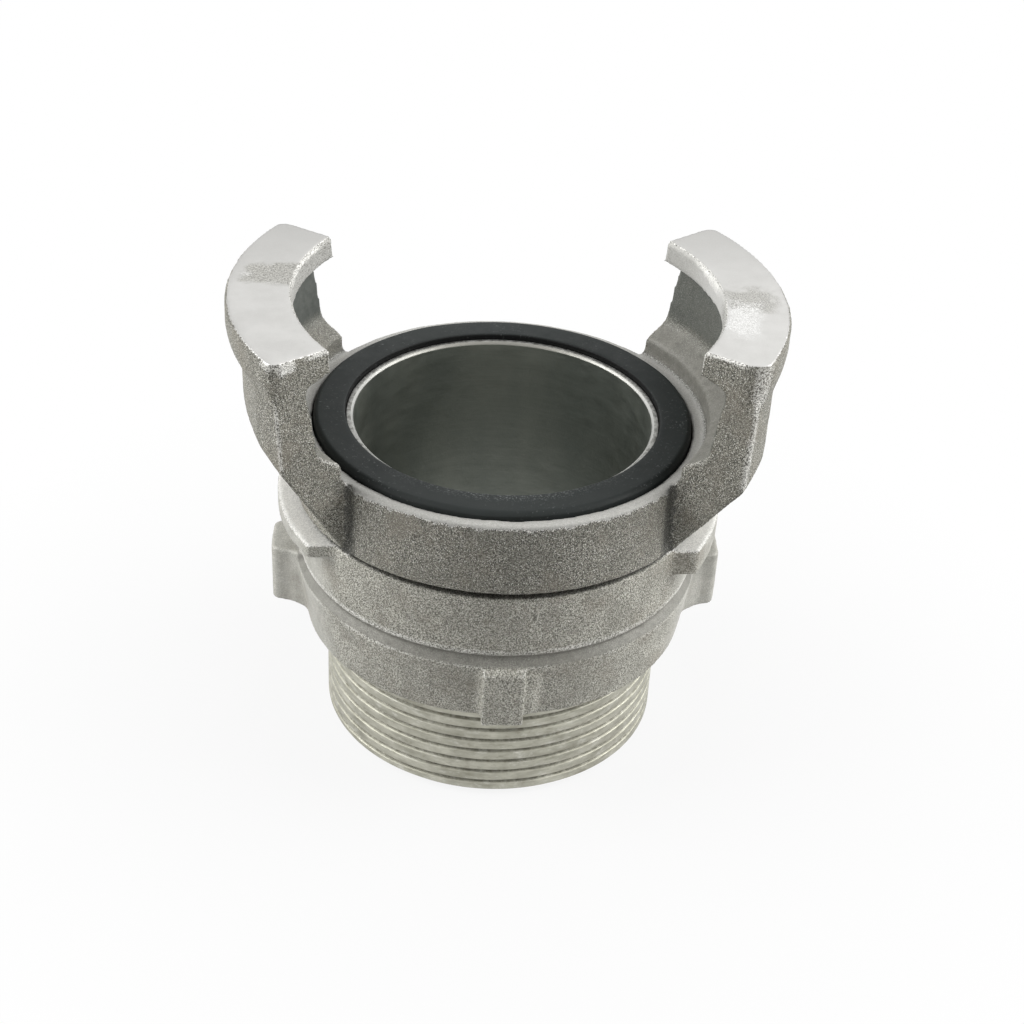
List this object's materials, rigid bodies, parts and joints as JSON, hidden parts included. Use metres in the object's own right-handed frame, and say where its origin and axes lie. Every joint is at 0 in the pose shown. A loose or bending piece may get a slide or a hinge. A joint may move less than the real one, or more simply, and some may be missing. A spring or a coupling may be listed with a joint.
{
  "type": "male threaded coupling",
  "caption": "Clamp coupling half with hooked claws, a freely turning cam locking ring, a face seal and a male pipe thread.",
  "frame": {"origin": "centre of the threaded end face, which is the underside when the part stands up", "axes": "+Z along the bore from the threaded end to the claws, +X through the middle of the right claw"},
  "size_m": [0.092, 0.073, 0.0823],
  "materials": {
    "cast_aluminium": "satin",
    "seal_rubber": "matte",
    "spring_steel": "satin"
  },
  "bodies": {
    "coupling": {"coupling_body": "cast_aluminium", "face_seal": "seal_rubber", "retaining_ring": "spring_steel"},
    "ring": {"locking_ring": "cast_aluminium"}
  },
  "joints": [
    {"name": "ring_turn", "type": "hinge", "parent": "coupling", "child": "ring", "pos_m": [0, 0, 0.033], "axis": [0, 0, 1], "continuous": true}
  ]
}
